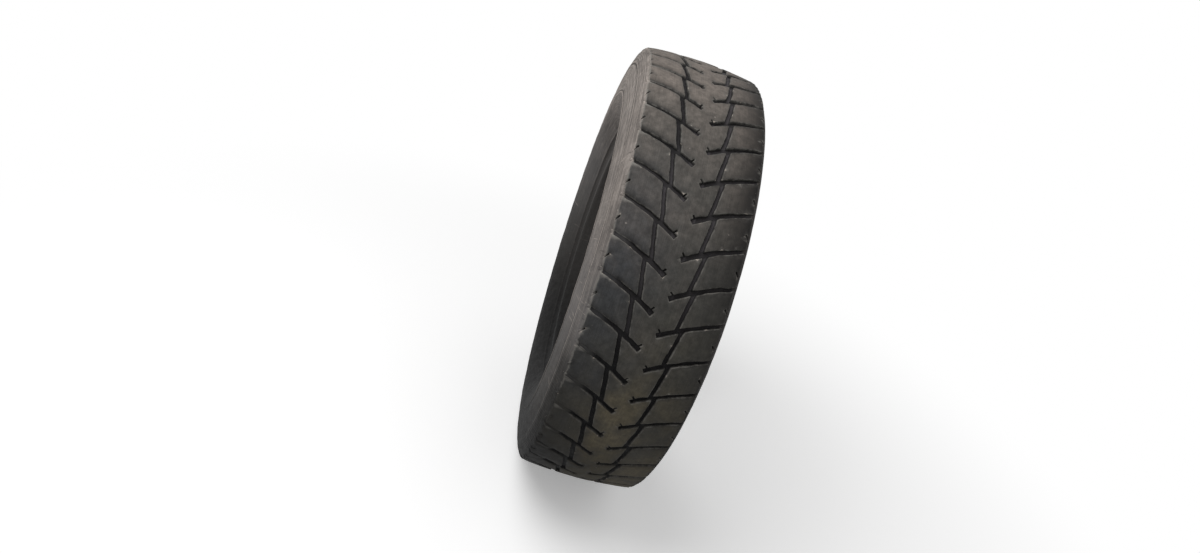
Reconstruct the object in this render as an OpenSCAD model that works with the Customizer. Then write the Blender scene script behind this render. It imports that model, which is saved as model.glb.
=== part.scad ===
// Worn truck tyre with a directional V tread, standing upright on its tread.
// The tyre spins about the Y axis and its centre is the origin. Sizes are in millimetres.

/* [Overall size] */
// Diameter over the middle of the worn tread
outer_d = 1060; // [1000:1:1280]
// Width over the two sidewalls at their widest
section_w = 312; // [290:1:360]
// Diameter of the ring where the sidewalls are widest
widest_d = 820; // [790:1:860]
// Depth that the tyre's own weight presses flat under it
flat_spot = 2; // [0.5:0.5:6]

/* [Bead] */
// Nominal seat diameter of the rim, at the heel of the bead
seat_d = 571.5; // [470:0.5:690]
// Width over the heels of the two beads
seat_w = 228.6; // [200:0.1:260]
// Taper of the bead's base
seat_taper = 15; // [5:1:25]
// Width of the bead's base from heel to toe
bead_w = 35; // [25:0.5:45]
// Width of the straight land at the toe
toe_land = 6; // [3:0.5:12]
// Rounding of the heel
heel_r = 6.5; // [3:0.5:10]
// Radius of the hollow where the rim's flange sits
flange_r = 18; // [10:1:30]
// Height of that hollow's centre above the seat
flange_h = 21.5; // [12:0.5:35]
// Height of the stiff filler above the bead's base
filler_h = 62; // [40:1:90]

/* [Walls] */
// Thickness under the middle of the tread, blocks included
crown_t = 27; // [22:0.5:40]
// Thickness of the sidewall where it is widest
side_t = 13; // [8:0.5:20]
// Rounding of the inside under the shoulder
inner_shoulder_r = 45; // [25:1:60]

/* [Tread] */
// Width of the tread between its two edges
tread_w = 262; // [220:1:280]
// Radius of the tread's crown across the tyre
crown_r = 1010; // [600:10:2000]
// Rounding of the tread's edge
edge_r = 4; // [1:0.5:8]
// Depth left in the grooves
tread_depth = 8; // [3:0.5:16]
// Number of pattern pitches around the tyre
pitches = 43; // [30:1:56]
// Width of the plain strip along the middle
strip_w = 21; // [10:1:50]

/* [Grooves] */
// Width of a lateral groove at its inner tip
lateral_w_in = 11; // [3:0.5:12]
// Width of a lateral groove at the tread's edge
lateral_w_out = 7.5; // [2:0.5:10]
// Slope of a lateral groove at the tread's edge
lateral_slope_out = 16; // [8:1:24]
// Slope of a lateral groove at its inner tip
lateral_slope_in = 32; // [26:1:42]
// Distance of a joining groove's upper end from the middle of the tread
join_y_top = 57; // [40:1:90]
// Distance of a joining groove's lower end from the middle of the tread
join_y_foot = 44; // [30:1:80]
// Width of a joining groove
join_w = 9.5; // [3:0.5:12]
// Width of the thin spur beside each inner tip
spur_w = 3.5; // [1:0.5:5]
// Length of the spur across the tyre
spur_reach = 8.5; // [4:0.5:14]
// Length of the spur along the tyre
spur_rise = 9.5; // [4:0.5:16]
// Width of the slit in the edge of each shoulder block
slit_w = 3.5; // [1:0.5:5]
// Length of the slit across the tyre
slit_reach = 6; // [4:0.5:20]
// Distance of the slit below the middle of its block
slit_drop = 4; // [0:0.5:15]
// Slope of the slit
slit_slope = 38; // [0:1:60]

/* [Ribs] */
// Number of fine ribs on each shoulder under the tread
shoulder_ribs = 4; // [1:1:6]
// Distance from the tread's edge to the first shoulder rib
rib_from = 16; // [12:1:30]
// Spacing of the shoulder ribs
rib_step = 6; // [3:0.5:10]
// Height of each rib
rib_h = 0.8; // [0.5:0.1:2]
// Distance up the wall, from the hollow for the rim's flange, to the ring that shows how the tyre sits
rim_line_up = 7.07; // [4:0.01:20]

/* [Hidden] */
ring_fn = 360;
arc_steps = 12;
crown_steps = 4;
lateral_steps = 5;
overlap = 1;
overlap_turn = 1;
past = 6;
tiny = 0.001;

crown_c = [0, outer_d / 2 - crown_r];
widest = [section_w / 2, widest_d / 2];
flange_c = [seat_w / 2 + flange_r, seat_d / 2 + flange_h];
flange_in = widest.x - flange_c.x;
flange_down = widest.y - flange_c.y;
edge_angle = asin(tread_w / 2 / crown_r);
edge = crown_c + crown_r * [sin(edge_angle), cos(edge_angle)];
edge_out = widest.x - edge.x;
edge_up = edge.y - widest.y;
upper_side_r = (edge_out * edge_out + edge_up * edge_up) / (2 * edge_out);
upper_c = widest - [upper_side_r, 0];
lower_side_r = (flange_in * flange_in + flange_down * flange_down - flange_r * flange_r)
    / (2 * (flange_r + flange_in));
lower_c = widest - [lower_side_r, 0];
flange_angle = angle_of(flange_c, lower_c);
floor_r = crown_r - tread_depth;
floor_edge = meet(crown_c, floor_r, upper_c, upper_side_r);
edge_c = meet(crown_c, crown_r - edge_r, upper_c, upper_side_r - edge_r);

seat_r = seat_d / 2;
heel_y = seat_w / 2;
toe_y = heel_y - bead_w;
toe_r = seat_r - (bead_w - toe_land) * tan(seat_taper);
heel_c = [heel_y - heel_r, seat_r + heel_r * (1 / cos(seat_taper) - tan(seat_taper))];

inner_crown_r = crown_r - crown_t;
inner_side_r = upper_side_r - side_t;
inner_shoulder_c = meet(crown_c, inner_crown_r - inner_shoulder_r, upper_c, inner_side_r - inner_shoulder_r);
filler_top = toe_r + filler_h;

cut_foot = floor_edge.y - 3 * overlap;
cut_top = outer_d / 2 + overlap;
pitch_angle = 360 / pitches;
pitch_len = PI * outer_d / pitches;
tip_y = strip_w / 2;
lateral_r = (tread_w / 2 - tip_y) / (sin(lateral_slope_in) - sin(lateral_slope_out));
join_top = lateral_at(slope_at(join_y_top));
join_foot = lateral_at(slope_at(join_y_foot)) - [pitch_len, 0];
spur_root = lateral_at(slope_at(tip_y + spur_reach));
spur_tip = spur_root + [spur_rise, -spur_reach];
slit_root = [-pitch_len / 2 - slit_drop, tread_w / 2 - slit_reach];
slit_mouth = slit_root + (slit_reach + past) * [-tan(slit_slope), 1];

rib_first = angle_of(upper_c, edge) - rib_from / upper_side_r * 180 / PI;
rib_turn = rib_step / upper_side_r * 180 / PI;
rim_line_angle = flange_angle - 180 + rim_line_up / lower_side_r * 180 / PI;

// Point on a circle
function on(c, r, a) = c + r * [cos(a), sin(a)];

// Direction from one point to another
function angle_of(from, to) = atan2(to.y - from.y, to.x - from.x);

// Arc about c from angle a to angle b
function arc(c, r, a, b, steps = arc_steps) = [for (i = [0:steps]) on(c, r, a + (b - a) * i / steps)];

// Where a circle meets one whose centre lies further out, on the side of positive x
function meet(c1, r1, c2, r2) =
    let (
        d = norm(c2 - c1),
        along = (d * d + r1 * r1 - r2 * r2) / (2 * d),
        across = sqrt(r1 * r1 - along * along),
        u = (c2 - c1) / d
    )
    c1 + along * u + across * [u.y, -u.x];

// Smooth curve between a and d that leaves towards b and arrives from c
function curve(a, b, c, d, steps = arc_steps) =
    [for (i = [0:steps]) let (t = i / steps, m = 1 - t)
        m * m * m * a + 3 * m * m * t * b + 3 * m * t * t * c + t * t * t * d];

// The same points in the other order
function reversed(points) = [for (i = [len(points) - 1:-1:0]) points[i]];

// The points off the middle plane, on the other side of the tyre and in the other order
function mirrored(points) = [for (p = reversed(points)) if (p.x > tiny) [-p.x, p.y]];

// Point on the middle line of a lateral groove where it slopes by a: along the tyre, then across it
function lateral_at(a) = [
    lateral_r * (cos(a) - cos(lateral_slope_out)),
    tread_w / 2 - lateral_r * (sin(a) - sin(lateral_slope_out))
];

// Slope of the lateral groove at a distance y from the middle of the tread
function slope_at(y) = asin(sin(lateral_slope_out) + (tread_w / 2 - y) / lateral_r);

// Width of the lateral groove where it slopes by a
function lateral_w(a) = lateral_w_out
    + (lateral_w_in - lateral_w_out) * (a - lateral_slope_out) / (lateral_slope_in - lateral_slope_out);

// One side of the lateral groove
function lateral_side(side) =
    let (from = slope_at(tread_w / 2 + past), by = (lateral_slope_in - from) / lateral_steps)
    [for (i = [0:lateral_steps]) let (a = from + i * by)
        lateral_at(a) + side * lateral_w(a) / 2 * [cos(a), -sin(a)]];

// Outline of a straight groove between two points
function straight(from, to, w) =
    let (u = (to - from) / norm(to - from), n = [u.y, -u.x] * w / 2)
    [from + n, to + n, to - n, from - n];

// Half of the outside, from the middle of the tread's floor to the toe
function outside_half() = concat(
    arc(crown_c, floor_r, 90, angle_of(crown_c, floor_edge), crown_steps),
    arc(upper_c, upper_side_r, angle_of(upper_c, floor_edge), 0),
    arc(lower_c, lower_side_r, 0, flange_angle - 180),
    arc(flange_c, flange_r, flange_angle, 180, arc_steps / 2),
    arc(heel_c, heel_r, 0, seat_taper - 90, arc_steps / 2),
    [[toe_y + toe_land, toe_r], [toe_y, toe_r]]
);

// Half of the inside, from the toe to the middle of the crown
function inside_half() = concat(
    curve([toe_y, toe_r + toe_land / 2], [toe_y + toe_land, filler_top - side_t],
        [widest.x - side_t, filler_top + side_t], widest - [side_t, 0]),
    arc(upper_c, inner_side_r, 0, angle_of(upper_c, inner_shoulder_c)),
    arc(inner_shoulder_c, inner_shoulder_r, angle_of(upper_c, inner_shoulder_c),
        angle_of(crown_c, inner_shoulder_c)),
    arc(crown_c, inner_crown_r, angle_of(crown_c, inner_shoulder_c), 90, crown_steps)
);

// Half of the tread's layer, from the middle of the tread to the corner of its floor
function tread_half() = concat(
    arc(crown_c, crown_r, 90, angle_of(crown_c, edge_c), crown_steps),
    arc(edge_c, edge_r, angle_of(crown_c, edge_c), angle_of(upper_c, edge_c), arc_steps / 4),
    [floor_edge, on(crown_c, floor_r - overlap, angle_of(crown_c, floor_edge) + overlap_turn)]
);

// Section of a rib that stands on the wall at a point, facing the direction a
function rib_section(at, a) =
    let (out = [cos(a), sin(a)], along = [-sin(a), cos(a)])
    [
        at - overlap * out - 1.5 * rib_h * along,
        at + rib_h * out - 0.5 * rib_h * along,
        at + rib_h * out + 0.5 * rib_h * along,
        at - overlap * out + 1.5 * rib_h * along
    ];

// Turns a section, given as distances from the middle plane and from the axis, about the axis
module turned(section) {
    rotate([90, 0, 0])
        rotate_extrude($fn = ring_fn)
            polygon([for (p = section) [p.y, p.x]]);
}

// Turns a half section that reaches the middle plane, together with its mirror image
module ring(half) {
    turned(concat(half, mirrored(half)));
}

// Casing with its two beads and sidewalls, up to the floor of the grooves
module casing() {
    color("dimgray") ring(concat(outside_half(), inside_half()));
}

// One rib on each side of the tyre
module rib_pair(centre, r, a) {
    turned(rib_section(on(centre, r, a), a));
    turned(mirrored(rib_section(on(centre, r, a), a)));
}

// Fine ribs under the tread and the line above each bead
module ribs() {
    color("dimgray") {
        for (i = [0:shoulder_ribs - 1])
            rib_pair(upper_c, upper_side_r, rib_first - i * rib_turn);
        rib_pair(lower_c, lower_side_r, rim_line_angle);
    }
}

// Plain layer that the tread's blocks are cut from
module tread_layer() {
    color("darkslategray") ring(tread_half());
}

// Upright cut with the given outline, on one side of the tread at the top of the tyre
module groove(outline, side) {
    translate([0, 0, cut_foot])
        linear_extrude(cut_top - cut_foot)
            polygon([for (p = outline) [-p.x, side * p.y]]);
}

// One pitch of the pattern on one side of the tread
module pitch(side) {
    groove(concat(lateral_side(1), reversed(lateral_side(-1))), side);
    groove(straight(join_top, join_foot, join_w), side);
    groove(straight(spur_root, spur_tip, spur_w), side);
    groove(straight(slit_root, slit_mouth, slit_w), side);
}

// The whole pattern, with the right side half a pitch behind the left
module pattern() {
    for (i = [0:pitches - 1])
        for (side = [-1, 1])
            rotate([0, (i + (side + 1) / 4) * pitch_angle, 0])
                pitch(side);
}

// Worn tread with its grooves
module tread() {
    difference() {
        tread_layer();
        pattern();
    }
}

// Block that takes off the flat spot under the tyre
module ground() {
    translate([-outer_d / 2, -section_w / 2, -outer_d])
        cube([outer_d, section_w, outer_d / 2 + flat_spot]);
}

module tyre() {
    difference() {
        union() {
            casing();
            tread();
            ribs();
        }
        ground();
    }
}

tyre();
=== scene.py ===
import math
import bpy
import numpy as np
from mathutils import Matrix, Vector
from mathutils.geometry import delaunay_2d_cdt


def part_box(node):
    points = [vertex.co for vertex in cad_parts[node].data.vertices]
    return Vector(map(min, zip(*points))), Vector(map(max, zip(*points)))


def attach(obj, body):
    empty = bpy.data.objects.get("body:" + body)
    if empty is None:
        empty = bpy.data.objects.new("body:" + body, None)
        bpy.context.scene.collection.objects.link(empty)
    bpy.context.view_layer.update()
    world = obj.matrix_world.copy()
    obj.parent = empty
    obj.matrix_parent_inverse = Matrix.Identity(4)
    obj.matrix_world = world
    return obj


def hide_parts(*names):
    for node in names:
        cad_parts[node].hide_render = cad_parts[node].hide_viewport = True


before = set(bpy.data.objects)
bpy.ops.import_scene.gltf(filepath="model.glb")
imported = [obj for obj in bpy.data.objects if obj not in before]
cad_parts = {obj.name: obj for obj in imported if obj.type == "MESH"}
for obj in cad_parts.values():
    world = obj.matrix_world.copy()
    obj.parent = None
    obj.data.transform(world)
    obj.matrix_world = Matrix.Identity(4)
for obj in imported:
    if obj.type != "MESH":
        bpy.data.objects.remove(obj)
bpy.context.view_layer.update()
mm = 0.001


# section of the tyre, as distances from the middle plane and from the axle

sectionSettings = {
    "crownRadius": 1010 * mm,      # across the tread
    "treadWidth": 262 * mm,
    "edgeRadius": 4 * mm,          # edge between tread and shoulder
    "widestDiameter": 820 * mm,
    "seatDiameter": 571.5 * mm,
    "seatWidth": 228.6 * mm,
    "seatTaper": math.radians(15),
    "beadWidth": 35 * mm,
    "toeLand": 6 * mm,
    "toeRadius": 1.5 * mm,
    "heelRadius": 6.5 * mm,
    "flangeRadius": 18 * mm,
    "flangeHeight": 21.5 * mm,
    "fillerHeight": 62 * mm,
    "crownThickness": 27 * mm,
    "sideThickness": 13 * mm,
    "innerShoulderRadius": 45 * mm,
}

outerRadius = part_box("tyre")[1][2]
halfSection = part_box("tyre")[1][1]
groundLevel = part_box("tyre")[0][2]


def polar(centre, r, angle):
    return (centre[0] + r * math.cos(angle), centre[1] + r * math.sin(angle))


def heading(start, end):
    return math.atan2(end[1] - start[1], end[0] - start[0])


def arcPoints(centre, r, start, end, steps):
    return [polar(centre, r, start + (end - start) * i / steps) for i in range(steps + 1)]


def meetCircles(c1, r1, c2, r2):       # on the side away from the middle plane
    dx, dy = c2[0] - c1[0], c2[1] - c1[1]
    d = math.hypot(dx, dy)
    along = (d * d + r1 * r1 - r2 * r2) / (2 * d)
    across = math.sqrt(r1 * r1 - along * along)
    return (c1[0] + (along * dx + across * dy) / d, c1[1] + (along * dy - across * dx) / d)


def curvePoints(a, b, c, d, steps):
    t = np.linspace(0, 1, steps + 1)[:, None]
    m = 1 - t
    a, b, c, d = (np.array(p) for p in (a, b, c, d))
    return m ** 3 * a + 3 * m * m * t * b + 3 * m * t * t * c + t ** 3 * d


def sectionOutlines(s):
    # outside from the crown to the toe, inside from the toe back to the crown
    crown = (0, outerRadius - s["crownRadius"])
    edge = polar(crown, s["crownRadius"], math.pi / 2 - math.asin(s["treadWidth"] / 2 / s["crownRadius"]))
    widest = (halfSection, s["widestDiameter"] / 2)
    out, up = widest[0] - edge[0], edge[1] - widest[1]
    upperRadius = (out * out + up * up) / (2 * out)
    upper = (widest[0] - upperRadius, widest[1])
    corner = meetCircles(crown, s["crownRadius"] - s["edgeRadius"], upper, upperRadius - s["edgeRadius"])
    seat, heel = s["seatDiameter"] / 2, s["seatWidth"] / 2
    flange = (heel + s["flangeRadius"], seat + s["flangeHeight"])
    gap, drop = widest[0] - flange[0], widest[1] - flange[1]
    lowerRadius = (gap * gap + drop * drop - s["flangeRadius"] ** 2) / (2 * (s["flangeRadius"] + gap))
    lower = (widest[0] - lowerRadius, widest[1])
    flangeTurn = heading(flange, lower)
    taper = math.tan(s["seatTaper"])
    heelCentre = (heel - s["heelRadius"],
                  seat + s["heelRadius"] * (1 / math.cos(s["seatTaper"]) - taper))
    toe = (heel - s["beadWidth"], seat - (s["beadWidth"] - s["toeLand"]) * taper)
    toeCentre = (toe[0] + s["toeRadius"], toe[1] + s["toeRadius"])
    outside = arcPoints(crown, s["crownRadius"], math.pi / 2, heading(crown, corner), 60)
    for arc in ((corner, s["edgeRadius"], heading(crown, corner), heading(upper, corner), 12),
                (upper, upperRadius, heading(upper, corner), 0, 80),
                (lower, lowerRadius, 0, flangeTurn - math.pi, 60),
                (flange, s["flangeRadius"], flangeTurn, math.pi, 12),
                (heelCentre, s["heelRadius"], 0, s["seatTaper"] - math.pi / 2, 8)):
        outside += arcPoints(*arc)[1:]
    outside += [(toe[0] + s["toeLand"], toe[1])]
    outside += arcPoints(toeCentre, s["toeRadius"], -math.pi / 2, -math.pi, 4)
    innerSide = upperRadius - s["sideThickness"]
    innerCrown = s["crownRadius"] - s["crownThickness"]
    shoulder = meetCircles(crown, innerCrown - s["innerShoulderRadius"],
                           upper, innerSide - s["innerShoulderRadius"])
    fillerTop = toe[1] + s["fillerHeight"]
    inside = list(curvePoints(
        (toe[0], toeCentre[1]), (toe[0] + s["toeLand"], fillerTop - s["sideThickness"]),
        (widest[0] - s["sideThickness"], fillerTop + s["sideThickness"]),
        (widest[0] - s["sideThickness"], widest[1]), 24))
    for arc in ((upper, innerSide, 0, heading(upper, shoulder), 24),
                (shoulder, s["innerShoulderRadius"], heading(upper, shoulder), heading(crown, shoulder), 12),
                (crown, innerCrown, heading(crown, shoulder), math.pi / 2, 12)):
        inside += arcPoints(*arc)[1:]
    return np.array(outside), np.array(inside)


def lengthsAlong(points):
    return np.concatenate([[0], np.cumsum(np.hypot(*np.diff(points, axis=0).T))])


outsideLine, insideLine = sectionOutlines(sectionSettings)
outsideLength = lengthsAlong(outsideLine)
insideLength = lengthsAlong(insideLine)


def pointAt(line, lengths, at):        # at a distance along an outline
    return np.stack([np.interp(at, lengths, line[:, k]) for k in (0, 1)], axis=-1)


def inwardAt(line, lengths, at):       # its inward direction there
    step = 0.5 * mm
    run = pointAt(line, lengths, at + step) - pointAt(line, lengths, at - step)
    run /= np.linalg.norm(run)
    return run[1], -run[0]


def turnedPoints(across, r, angle):    # angles are measured from the top
    return np.stack([-r * np.sin(angle), across + 0 * angle, r * np.cos(angle)], axis=1)


def smoothStep(low, high, x):
    t = np.clip((x - low) / (high - low), 0, 1)
    return t * t * (3 - 2 * t)


# slow waves around and across the tyre, so that no two blocks are worn alike
def makeWaves(seed, count, shortest, longest):
    rng = np.random.default_rng(seed)
    length = np.exp(rng.uniform(math.log(shortest), math.log(longest), count))
    turn = rng.uniform(0, math.pi, count)
    around = np.round(2 * math.pi * outerRadius * np.cos(turn) / length)   # whole waves, so no seam
    across = 2 * math.pi * np.sin(turn) / length
    phase = rng.uniform(0, 2 * math.pi, count)

    def waves(angle, v):
        total = np.zeros(np.broadcast(angle, v).shape)
        for a, b, p in zip(around, across, phase):
            total += np.sin(a * angle + b * v + p)
        return total * math.sqrt(2 / count)
    return waves


# tread pattern: along the tyre from the top, and across it from the middle

treadSettings = {
    "pitches": 43,
    "stripWidth": 21 * mm,                   # plain strip along the middle
    "lateralWidth": (7.5 * mm, 11 * mm),     # at the tread's edge and at the inner tip
    "lateralSlope": (math.radians(16), math.radians(32)),
    "joinAcross": (57 * mm, 44 * mm),        # its upper and lower end
    "joinWidth": 9.5 * mm,
    "spurWidth": 3.5 * mm,
    "spurReach": 8.5 * mm,
    "spurRise": 9.5 * mm,
    "slitWidth": 4.1 * mm,
    "slitReach": 7 * mm,
    "slitDrop": 4 * mm,
    "slitSlope": math.radians(38),
    "grooveEnd": 139 * mm,                   # where the grooves run out on the shoulder
    "reach": 144 * mm,                       # half width of the patterned skin
    "grooveDepth": 8 * mm,
    "cornerRadius": 1.2 * mm,
    "filletSize": 3 * mm,
    "ringOffsets": (2.2 * mm, 0.7 * mm, 0, -0.7 * mm, -2.3 * mm),
    "gridColumns": 104,                      # for one pitch
    "outlineTolerance": 0.14 * mm,
    "outlineStep": 7 * mm,
    "pointSpacing": 9 * mm,
    "warp": 0.45 * mm,
    "borderCount": 220,                      # points around each end of the skin
    "bandReach": 20 * mm,                    # how far the marks beside a lateral groove reach
    "chipBelowSlit": 7 * mm,
    "chipRun": (6 * mm, 8 * mm),             # along and across
    "chipWidth": 4 * mm,
    "wornStretch": (247, 24, 36),            # left grooves almost gone: middle, full and end in degrees
    "shallowStretch": (262, 36, 50),         # left grooves only shallow
    "leftWear": (0.15, 0.55, 0.3),           # share lost: everywhere, where shallow, more where worn
    "leftWearAcross": (76 * mm, 106 * mm),
    "leftKept": 0.4,                         # given back at the very edge of the shallow stretch
    "leftKeptAcross": (120 * mm, 129 * mm),
    "rightWear": 0.25,
    "rightWearAcross": (116 * mm, 132 * mm),
    "unevenness": 0.2 * mm,
    "leftLoss": 0.7 * mm,                    # worn off the left blocks towards the edge
    "leftLossAcross": (108 * mm, 130 * mm),
    "softEdge": (0.6 * mm, 0.4 * mm),        # how far worn blocks sink towards a groove, left and right
    "softReach": 4.5 * mm,
    "heelWear": 2.6 * mm,                    # lost from the left blocks just above a lateral groove
    "heelAcross": (25 * mm, 100 * mm),
    "toeWear": 0.91 * mm,                    # lost from the right blocks just below a lateral groove
    "toeAcross": (20 * mm, 60 * mm),
    "chipDepth": 1.3 * mm,
    "chipReach": 3 * mm,                     # from a groove
    "rounding": 0.9 * mm,                    # of the worn edges of the blocks
    "foot": 0.8 * mm,                        # of the groove walls
    "markedDepth": (4.4 * mm, 2 * mm),       # grooves at least this deep are coloured in full
    "markedAcross": (112 * mm, 126 * mm),
}

pitchLength = 2 * math.pi * outerRadius / treadSettings["pitches"]
treadEdge = sectionSettings["treadWidth"] / 2
slopeOut, slopeIn = treadSettings["lateralSlope"]
lateralRadius = (treadEdge - treadSettings["stripWidth"] / 2) / (math.sin(slopeIn) - math.sin(slopeOut))


def slopeAt(across):
    return math.asin(math.sin(slopeOut) + (treadEdge - across) / lateralRadius)


def lateralPoint(across):
    slope = slopeAt(across)
    return lateralRadius * (math.cos(slope) - math.cos(slopeOut)), across


def roundedBox(along, across, halfLength, halfWidth, corner):
    # distance from a rounded rectangle, below zero inside it
    a = np.abs(along) - halfLength + corner
    b = np.abs(across) - halfWidth + corner
    return np.hypot(np.maximum(a, 0), np.maximum(b, 0)) + np.minimum(np.maximum(a, b), 0) - corner


def smoothUnion(a, b, size):
    h = np.clip(0.5 + 0.5 * (b - a) / size, 0, 1)
    return b * (1 - h) + a * h - size * h * (1 - h)


def straightField(s, v, start, end, width, corner):
    length = math.dist(start, end)
    us, uv = (end[0] - start[0]) / length, (end[1] - start[1]) / length
    ds, dv = s - (start[0] + end[0]) / 2, v - (start[1] + end[1]) / 2
    return roundedBox(ds * us + dv * uv, ds * uv - dv * us, length / 2, width / 2, corner)


def lateralField(s, v, t):
    centre = (-lateralRadius * math.cos(slopeOut), treadEdge + lateralRadius * math.sin(slopeOut))
    slope = np.arctan2(centre[1] - v, s - centre[0])
    start = slopeAt(t["grooveEnd"])
    width = np.interp(slope, (slopeOut, slopeIn), t["lateralWidth"])
    return roundedBox((slope - (start + slopeIn) / 2) * lateralRadius,
                      np.hypot(s - centre[0], v - centre[1]) - lateralRadius,
                      (slopeIn - start) / 2 * lateralRadius, width / 2, t["cornerRadius"])


def grooveField(s, v, t):
    # distance from the nearest groove on one side of the tread, below zero inside it
    s = np.mod(s, pitchLength)
    join = [lateralPoint(across) for across in t["joinAcross"]]
    join[1] = (join[1][0] - pitchLength, join[1][1])
    spur = lateralPoint(t["stripWidth"] / 2 + t["spurReach"])
    spurTip = (spur[0] + t["spurRise"], spur[1] - t["spurReach"])
    slit = (-pitchLength / 2 - t["slitDrop"], treadEdge - t["slitReach"])
    run = t["grooveEnd"] - slit[1]
    slitMouth = (slit[0] - run * math.tan(t["slitSlope"]), t["grooveEnd"])
    field = np.full(np.broadcast(s, v).shape, 1.0)
    for k in range(-1, 4):
        at = s - k * pitchLength
        whole = lateralField(at, v, t)
        whole = smoothUnion(whole, straightField(at, v, *join, t["joinWidth"], t["cornerRadius"]),
                            t["filletSize"])
        whole = smoothUnion(whole, straightField(at, v, spur, spurTip, t["spurWidth"], 0.8 * mm), 1 * mm)
        field = smoothUnion(field, whole, 1 * mm)
        field = np.minimum(field, straightField(at, v, slit, slitMouth, t["slitWidth"], 1 * mm))
    return field


def contourLines(field, level):
    # lines of one level through a grid, each a list of (grid edge, position in cells)
    above = field > level
    neighbours = {}

    def crossing(edge):
        kind, i, j = edge
        i2, j2 = (i + 1, j) if kind == "s" else (i, j + 1)
        t = (level - field[i, j]) / (field[i2, j2] - field[i, j])
        return (i + t * (i2 - i), j + t * (j2 - j))

    mixed = above[:-1, :-1].astype(int) + above[1:, :-1] + above[:-1, 1:] + above[1:, 1:]
    for i, j in np.argwhere((mixed > 0) & (mixed < 4)):
        i, j = int(i), int(j)
        corners = (above[i, j], above[i + 1, j], above[i + 1, j + 1], above[i, j + 1])
        sides = (("s", i, j), ("v", i + 1, j), ("s", i, j + 1), ("v", i, j))
        cut = [sides[k] for k in range(4) if corners[k] != corners[(k + 1) % 4]]
        if len(cut) == 4 and (field[i:i + 2, j:j + 2].mean() > level) != corners[0]:
            cut = cut[1:] + cut[:1]
        for a, b in zip(cut[::2], cut[1::2]):
            neighbours.setdefault(a, []).append(b)
            neighbours.setdefault(b, []).append(a)
    lines = []
    while neighbours:
        ends = [e for e in neighbours if len(neighbours[e]) == 1]
        start = here = ends[0] if ends else next(iter(neighbours))
        line = [start]
        while True:
            onward = neighbours[here]
            if not onward:
                del neighbours[here]
                break
            there = onward.pop()
            neighbours[there].remove(here)
            if not neighbours[here]:
                del neighbours[here]
            line.append(there)
            here = there
        neighbours.pop(start, None)
        lines.append([(edge, crossing(edge)) for edge in line])
    return lines


def thinnedLine(points, tolerance, longest):
    # indices of the points that keep the line's shape
    kept = [0]
    while kept[-1] < len(points) - 1:
        first = kept[-1]
        last = first + 1
        while last + 1 < len(points):
            chord = points[last + 1] - points[first]
            length = math.hypot(*chord)
            if length > longest or length == 0:
                break
            between = points[first + 1:last + 1] - points[first]
            if np.abs(between @ np.array([chord[1], -chord[0]])).max() / length > tolerance:
                break
            last += 1
        kept.append(last)
    return kept


def pitchOutlines(t):
    # groove outlines of one pitch on one side, at each offset from the groove's edge
    n = t["gridColumns"]
    cell = pitchLength / n
    v = np.arange(0, t["reach"], cell)
    field = grooveField(np.arange(n)[:, None] * cell, v[None, :], t)
    field = np.vstack([field, field[:1]])
    outlines = []
    for ring, offset in enumerate(t["ringOffsets"]):
        for line in contourLines(field, offset + 1e-9):
            points = np.array([p for _, p in line]) * cell
            kept = thinnedLine(points, t["outlineTolerance"], t["outlineStep"])
            outlines.append((ring, [line[k][0] for k in kept], points[kept]))
    return outlines


def treadPoints(t):
    # outline points of the unrolled tread (along, across, ring number) and the edges to keep
    n, pitches = t["gridColumns"], t["pitches"]
    index, rows, edges = {}, [], []
    outlines = pitchOutlines(t)
    for side, phase in ((-1, 0), (1, -0.5)):
        for ring, keys, points in outlines:
            for turn in range(pitches):
                line = []
                for (kind, i, j), (s, v) in zip(keys, points):
                    key = (side, ring, kind, (i + turn * n) % (n * pitches), j)
                    if key not in index:
                        index[key] = len(rows)
                        rows.append((s + (turn + phase) * pitchLength, side * v, ring))
                    line.append(index[key])
                edges += [pair for pair in zip(line, line[1:]) if pair[0] != pair[1]]
    return rows, edges


def borderPoints(t, first):
    # the left and the right end of the patterned skin, where the sidewalls take over
    rows, edges, count = [], [], t["borderCount"]
    for side in (-1, 1):
        start = first + len(rows)
        rows += [(2 * math.pi * outerRadius * k / count, side * t["reach"], -2) for k in range(count)]
        edges += [(start + k, start + (k + 1) % count) for k in range(count)]
    return rows, edges


def freePoints(t):
    # jittered points between the grooves and on the plain middle strip
    rng = np.random.default_rng(7)
    spacing = t["pointSpacing"]
    around = 2 * math.pi * outerRadius
    columns = round(around / spacing)
    count = int(2 * t["reach"] / (spacing * math.sqrt(0.75)))
    points = []
    for j in range(1, count):
        s = (np.arange(columns) + j % 2 / 2) * around / columns
        points.append(np.stack([s, np.full(columns, (2 * j / count - 1) * t["reach"])], axis=1))
    points = np.concatenate(points)
    points += rng.uniform(-0.2, 0.2, points.shape) * spacing
    s, v = points.T
    field = np.where(v < 0, grooveField(s, -v, t), grooveField(s + pitchLength / 2, v, t))
    clear = (field > t["ringOffsets"][0] + 0.4 * spacing) & (np.abs(v) < t["reach"] - 0.4 * spacing)
    return points[clear], field[clear]


def besideLaterals(s, v, t):
    # nearness to a lateral groove from above and from below it: 1 at its edge, 0 from the reach on
    side = np.abs(v)
    slope = np.arcsin(math.sin(slopeOut) + (treadEdge - side) / lateralRadius)
    along = np.where(v < 0, s, s + pitchLength / 2) - lateralRadius * (np.cos(slope) - math.cos(slopeOut))
    along = np.mod(along + pitchLength / 2, pitchLength) - pitchLength / 2
    width = np.interp(slope, (slopeOut, slopeIn), t["lateralWidth"])
    near = np.clip(1 - (np.abs(along) * np.cos(slope) - width / 2) / t["bandReach"], 0, 1)
    near *= smoothStep(t["stripWidth"] / 2, t["stripWidth"], side)
    return np.where(along > 0, near, 0), np.where(along > 0, 0, near)


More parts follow.
